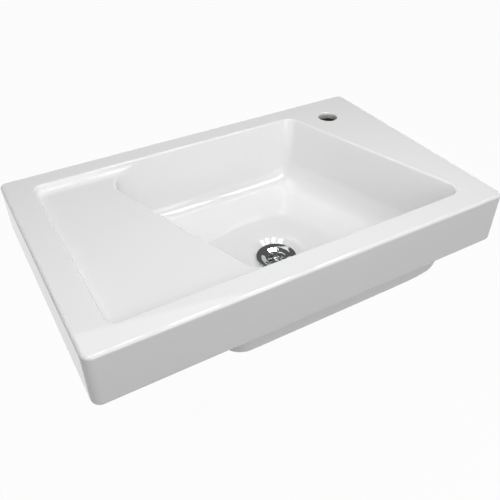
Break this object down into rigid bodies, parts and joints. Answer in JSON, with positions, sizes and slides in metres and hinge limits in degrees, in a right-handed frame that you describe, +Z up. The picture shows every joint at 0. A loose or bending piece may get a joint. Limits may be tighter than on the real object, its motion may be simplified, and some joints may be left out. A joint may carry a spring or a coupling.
{
  "type": "wall-mounted bathroom sink",
  "caption": "Wall-mounted glazed ceramic sink with a deep offset bowl, a shallow shelf beside it, a tap hole and an open strainer waste.",
  "frame": {"origin": "on the wall plane that the basin's back rests on, halfway between the two fixing bolts", "axes": "+X to the right as seen from the room, along the wall and the basin's length; +Y into the wall; +Z up"},
  "size_m": [0.65, 0.4695, 0.182],
  "materials": {
    "glaze": "glossy white glaze",
    "chrome": "polished chrome plate",
    "zinc_steel": "zinc-plated steel",
    "nylon": "natural nylon",
    "rubber": "black rubber",
    "brass": "turned brass"
  },
  "bodies": {
    "root": {"basin": "glaze", "strainer": "chrome", "strainer_screw": "chrome", "waste_body": "chrome", "flange_seal": "rubber", "body_seal": "rubber", "thread_insert": "brass", "hanger_bolt_left": "zinc_steel", "fixing_bush_left": "nylon", "fixing_washer_left": "zinc_steel", "fixing_nut_left": "zinc_steel", "hanger_bolt_right": "zinc_steel", "fixing_bush_right": "nylon", "fixing_washer_right": "zinc_steel", "fixing_nut_right": "zinc_steel"}
  },
  "joints": []
}
